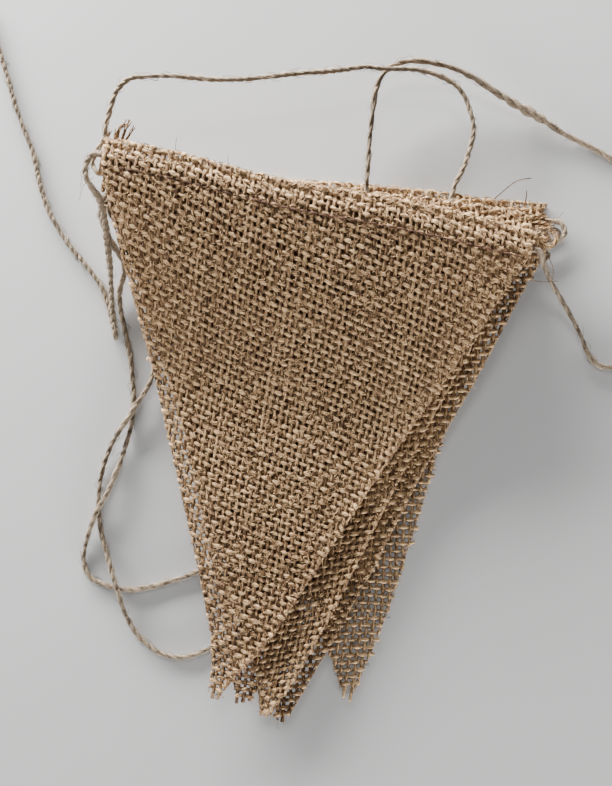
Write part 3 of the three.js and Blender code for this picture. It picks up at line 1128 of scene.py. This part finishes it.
@dataclass(frozen=True)
class HemEnd:
    """One end of one pennant's hem channel, which the twine comes out of."""

    pennant: Pennant
    side: Mouth
    lead_out: float = 0.003

    def channel(self, u: np.ndarray) -> np.ndarray:
        """The channel's middle line.

        Args:
            u: places along the fold.

        Returns:
            Its points there, from the datum.
        """
        pile = self.pennant.pile
        points = self.pennant.surface(u, np.full_like(u, pile.channel_along))
        points[:, 2] -= (pile.channel_lift - pile.pressed) / 2
        return points

    def reach(self) -> tuple[float, float]:
        """The channel's two ends along the fold."""
        left, right = self.pennant.edges(np.array([self.pennant.pile.channel_along]))
        return float(left[0]), float(right[0])

    def leaving(self) -> np.ndarray:
        """The way out of the mouth.

        Returns:
            The two points that carry a free stretch out.
        """
        u = self.reach()[0 if self.side is Mouth.LEFT else 1]
        end = self.channel(np.array([u]))[0]
        out = np.array((*self.pennant.along, 0.0)) * self.side.value
        return np.array([end + out * self.pennant.pile.gap, end + out * self.lead_out])


def route(points: np.ndarray, spacing: float) -> np.ndarray:
    """A smooth line through points, as the part's source draws it.

    Args:
        points: the points that it passes through.
        spacing: how far apart its own points are.

    Returns:
        Its points, evenly spaced.
    """
    padded = np.vstack((2 * points[0] - points[1], points, 2 * points[-1] - points[-2]))
    fine = []
    for before, start, end, after in zip(padded, padded[1:], padded[2:], padded[3:]):
        first, middle, last = (
            max(np.linalg.norm(q - p), 1e-9) ** 0.5 for p, q in ((before, start), (start, end), (end, after))
        )
        out = (start - before) / first - (end - before) / (first + middle) + (end - start) / middle
        into = (end - start) / middle - (after - start) / (middle + last) + (after - end) / last
        out, into = out * middle, into * middle
        t = np.linspace(0, 1, 24, endpoint=False)[:, None]
        fine.append(
            start + out * t + (3 * (end - start) - 2 * out - into) * t**2 + (2 * (start - end) + out + into) * t**3
        )
    fine = np.vstack((*fine, points[-1:]))
    along = np.concatenate(((0.0,), np.cumsum(np.linalg.norm(np.diff(fine, axis=0), axis=1))))
    even = np.linspace(0, along[-1], max(2, round(along[-1] / spacing) + 1))
    return np.column_stack([np.interp(even, along, axis) for axis in fine.T])


@dataclass(frozen=True)
class Stretch:
    """How one stretch of the twine looks.

    A slub is a thick place: its distance along the twine, its half length and its added share of the thickness.
    The shade is 0 dark to 1 light; on the free stretches it is painted lighter or darker for how the light falls on
    each. The lay is the length of one turn of the plies. A hem presses the stretch inside it thinner and leaves it no
    hairs.
    """

    slubs: tuple[tuple[float, float, float], ...] = ()
    shade: float = 0.5
    lay: float = 0.010
    in_hem: bool = False


@dataclass
class Twine:
    """The jute twine: two plies laid up round its route, with loose fibres standing off it."""

    finish: bpy.types.Material
    diameter: float = 0.0018
    spacing: float = 0.00085
    points_a_turn: int = 9
    pressed: float = 0.75
    short_slub: float = 0.02
    groove_shade: tuple[float, float] = (2.4, 1.6)
    ply_lowest: float = 0.0005
    hair_lowest: float = 0.0001
    fibre_every: float = 0.0009
    seed: int = 77

    def __post_init__(self) -> None:
        """Starts the seeded randomness."""
        self.rng = np.random.default_rng(self.seed)

    def sides_of(self, line: np.ndarray) -> tuple[np.ndarray, np.ndarray]:
        """Two directions square to a line at each of its points, without twist.

        Args:
            line: the line's points.

        Returns:
            The two directions at each.
        """
        ahead = np.gradient(line, axis=0)
        ahead /= np.linalg.norm(ahead, axis=1)[:, None]
        first = np.cross(ahead[0], (0.0, 0.0, 1.0))
        side, sides = first / np.linalg.norm(first), []
        for direction in ahead:
            side = side - direction * side.dot(direction)
            side /= np.linalg.norm(side)
            sides.append(side)
        sides = np.array(sides)
        return sides, np.cross(ahead, sides)

    def lay_up(self, line: np.ndarray, strands: Strands, look: Stretch) -> None:
        """Lays two plies round a line.

        Args:
            line: the twine's middle line.
            strands: what the plies are added to.
            look: how the stretch looks.
        """
        rng = self.rng
        side, up = self.sides_of(line)
        along = np.arange(len(line)) * np.linalg.norm(line[1] - line[0])
        tight = self.pressed if look.in_hem else 1.0
        thick = self.diameter / 2 * tight * (1 + 0.10 * wander(rng, along, 0.045))
        loose = np.full_like(along, 0.30)
        for at, half, more in look.slubs:
            near = np.exp(-(((along - at) / half) ** 2))
            thick *= 1 + more * near
            loose += 0.35 * near * (half < self.short_slub)
        turn = 2 * math.pi * along / look.lay + 0.5 * wander(rng, along, 0.03) + rng.uniform(0, 6)
        for ply in range(2):
            angle = turn + math.pi * ply
            share = 1 + 0.12 * wander(rng, along, 0.02)
            away = np.cos(angle)[:, None] * side + np.sin(angle)[:, None] * up
            middle = line + (loose * thick)[:, None] * away
            middle[:, 2] = np.maximum(middle[:, 2], self.ply_lowest)
            strands.add(middle, thick * 0.80 * share, -1500.0, np.clip(rng.normal(look.shade, 0.06), 0, 1))

    def shade_grooves(self, mesh: bpy.types.Mesh, line: np.ndarray) -> None:
        """Paints how far each point stands out from the twine's middle line, as painted shade: points low in the
        grooves between the plies are darker.

        Args:
            mesh: the mesh.
            line: the middle line.
        """
        places = points_of(mesh)
        nearest = np.full(len(places), 1.0)
        for point in line:
            nearest = np.minimum(nearest, np.linalg.norm(places - point, axis=1))
        contrast, offset = self.groove_shade
        paint(mesh, "crown", np.clip(nearest / (self.diameter / 2) * contrast - offset, 0, 1))

    def hairs(self, line: np.ndarray, fibres: Strands) -> None:
        """Stands loose fibres off a line.

        Args:
            line: the twine's middle line.
            fibres: what they are added to.
        """
        rng = self.rng
        side, up = self.sides_of(line)
        step, places = np.linalg.norm(line[1] - line[0]), np.arange(len(line))
        every = max(1, round(self.fibre_every / step))
        for index in range(2, len(line) - 2, every):
            angle = rng.uniform(0, 2 * math.pi)
            away = math.cos(angle) * side[index] + math.sin(angle) * up[index]
            reach, length = rng.uniform(0.0002, 0.0015), rng.uniform(0.0012, 0.0045)
            room = round(length / step) + 1
            sense = 1 if index < room else -1 if index > len(line) - room else rng.choice((-1, 1))
            t = np.linspace(0, 1, 4)
            follow = np.column_stack([np.interp(index + sense * length / step * t, places, axis) for axis in line.T])
            bow = np.sin(t * rng.uniform(1.0, 2.8))
            hair = follow + away * (self.diameter * 0.42 + reach * bow)[:, None]
            hair[:, 2] = np.maximum(hair[:, 2], self.hair_lowest)
            fibres.add(hair, np.linspace(0.00010, 0.00004, 4), 0.0, rng.uniform(0.0, 0.9))

    def piece(self, name: str, points: np.ndarray, look: Stretch) -> tuple[bpy.types.Object, np.ndarray]:
        """Makes one stretch of the twine in place of its solid.

        Args:
            name: the solid's name.
            points: the points of its route, from the datum.
            look: how it looks.

        Returns:
            The piece, and the points of its middle line in the part's frame.
        """
        line = route(points, min(self.spacing, look.lay / self.points_a_turn)) + np.array(PileShape().datum)
        plies, fibres = Strands(sides=6), Strands(sides=3)
        self.lay_up(line, plies, look)
        if not look.in_hem:
            self.hairs(line, fibres)
        meshes = [strands.mesh(name) for strands in (plies, fibres) if strands.rows]
        for mesh in meshes:
            self.shade_grooves(mesh, line)
        plied = f"{name}_plies"
        piece = add_piece(plied, joined(plied, meshes), self.finish)
        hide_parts(name)
        return piece, line

    def free(self, name: str, points: np.ndarray, far_end: str, look: Stretch) -> None:
        """Args:
            name: the solid's name.
            points: the points of its route, from where it leaves the object.
            far_end: what its other end is; not used.
            look: how it looks.
        """
        piece, line = self.piece(name, points, look)


def loose_ends(finish: bpy.types.Material) -> bpy.types.Object:
    """Makes the loose yarn ends and long fibres that stand off the hems.

    Args:
        finish: the cloths' finish.

    Returns:
        The piece.
    """
    rng, strands = np.random.default_rng(5), Strands(sides=5)
    for thickness, tint, points in LOOSE:
        line = route(metres(points), LOOSE_SPACING) + np.array(PileShape().datum)
        plies, divided, tapered = (3, 3.2, 0.45) if thickness > THINNEST_YARN else (1, 2, 0.2)
        t = np.linspace(0, 1, len(line))
        for ply in range(plies):
            angle = 2 * math.pi * (ply / plies + len(line) * 0.06 * t)
            splay = (0.2 + 0.5 * t**2) * thickness * (plies > 1)
            apart = np.column_stack((np.cos(angle), np.sin(angle), 0.4 * np.sin(angle + 1))) * splay[:, None]
            radius = thickness / divided * (1 - tapered * t) * rng.normal(1, 0.08, len(t))
            strands.add(line + apart, radius, 1500.0, np.clip(tint + rng.normal(0, 0.1), 0, 1))
    mesh = strands.mesh("hem_loose_ends")
    paint(mesh, "crown", np.full(len(mesh.vertices), 0.5))
    return add_piece("hem_loose_ends", mesh, finish)


def string_up(twine: Twine, by_name: dict[str, Pennant]) -> None:
    """Makes every stretch of the twine.

    Args:
        twine: what makes them.
        by_name: the pennants by name.
    """
    def way_out(name: str, side: Mouth) -> np.ndarray:
        """Two points out of a mouth."""
        return HemEnd(by_name[name], side).leaving()

    def between(start: np.ndarray, rows: tuple, end: np.ndarray) -> np.ndarray:
        """The points of a stretch from one mouth to another."""
        return np.vstack((start, metres(rows), end[::-1]))

    left, right = Mouth.LEFT, Mouth.RIGHT
    # Painted light and shade: the arch is painted lighter and the tail and loops darker, for how light falls on each.
    tail = np.vstack((way_out("pennant_1", left), metres(TAIL)[::-1]))
    twine.free("twine_tail", tail, "bare", Stretch(slubs=((0.03, 0.035, 0.3),), shade=0.42, lay=0.0055))
    loop = between(way_out("pennant_1", right), RIGHT_LOOP, way_out("pennant_4", right))
    thick_places = ((0.190, 0.009, 0.35), (0.205, 0.045, 0.22))
    twine.free("twine_right_loop", loop, "object", Stretch(slubs=thick_places, shade=0.44, lay=0.0125))
    arch = between(way_out("pennant_2", left), ARCH, way_out("pennant_5", right))
    twine.free("twine_arch", arch, "object", Stretch(shade=1.0, lay=0.0066))
    loops = between(way_out("pennant_3", left), LEFT_LOOPS, way_out("pennant_4", left))
    look = Stretch(slubs=((0.03, 0.04, 0.15),), shade=0.42, lay=0.0082)
    twine.free("twine_left_loops", loops, "object", look)
    link = between(way_out("pennant_2", right), LINK, way_out("pennant_3", right))
    twine.piece("twine_link", link, Stretch())
    for pennant in PENNANTS:
        hem = HemEnd(pennant, left)
        u = np.linspace(*hem.reach(), 11)
        twine.piece(f"hem_run_{pennant.name[-1]}", hem.channel(u), Stretch(in_hem=True))


# The surface and the light

@dataclass
class Studio:
    """The plain pale surface that the pile lies on, and soft light from the upper left."""

    surface_colour: tuple[float, float, float] = (0.56, 0.565, 0.57)
    surface_size: float = 6.0
    windows: tuple[tuple[str, tuple[float, float, float], tuple[float, float], float], ...] = (
        ("window_left", (-0.38, 0.66, 0.13), (1.0, 0.18), 55.0),
        ("window_high", (-0.10, 0.80, 0.90), (0.5, 0.3), 4.0),
        ("wall_below", (0.25, -0.80, 0.10), (0.9, 0.10), 19.0),
    )
    window_colour: tuple[float, float, float] = (1.0, 0.985, 0.96)
    fill: tuple[float, float, float] = (0.97, 0.98, 1.0)
    fill_strength: float = 0.21

    def surface(self) -> None:
        """Lays the surface."""
        shaper = bmesh.new()
        bmesh.ops.create_grid(shaper, x_segments=1, y_segments=1, size=self.surface_size / 2)
        mesh = bpy.data.meshes.new("surface")
        shaper.to_mesh(mesh)
        shaper.free()
        surface = add_object("surface", mesh)
        material = bpy.data.materials.new("pale surface")
        material.use_nodes = True
        shader = material.node_tree.nodes["Principled BSDF"]
        set_inputs(shader, {
            "Base Color": (*self.surface_colour, 1.0), "Roughness": 0.7, "Specular IOR Level": 0.2,
        })
        mesh.materials.append(material)

    def lights(self) -> None:
        """Sets up the windows' light and the room's light."""
        for name, place, size, watts in self.windows:
            data = bpy.data.lights.new(name, "AREA")
            data.shape = "RECTANGLE"
            data.energy = watts
            data.size, data.size_y = size
            data.color = self.window_colour
            lamp = add_object(name, data)
            lamp.location = Vector(place)
            lamp.rotation_euler = (-lamp.location).to_track_quat("-Z", "Y").to_euler()
            lamp.visible_camera = False
        world = bpy.data.worlds.new("room")
        world.use_nodes = True
        background = world.node_tree.nodes["Background"]
        set_inputs(background, {"Color": (*self.fill, 1.0), "Strength": self.fill_strength})
        bpy.context.scene.world = world


def main() -> None:
    """Builds the camera, the twine, the pennants, the surface and the light."""
    Viewpoint().place(PileShape().datum)
    fibres = fibre_group()
    by_name = {pennant.name: pennant for pennant in PENNANTS}
    string_up(Twine(JUTE_TWINE.material(fibres)), by_name)
    hessian, thread = HESSIAN.material(fibres), HEM_THREAD.material(fibres)
    ends = loose_ends(hessian)
    for pennant in PENNANTS:
        others = (ends,) if pennant is PENNANTS[-1] else ()
        Weaver(pennant, hessian, thread, seed=10 + pennant.level, others=others).build()
    studio = Studio()
    studio.surface()
    studio.lights()


if __name__ == "__main__":
    logging.basicConfig(level=logging.INFO)
    main()
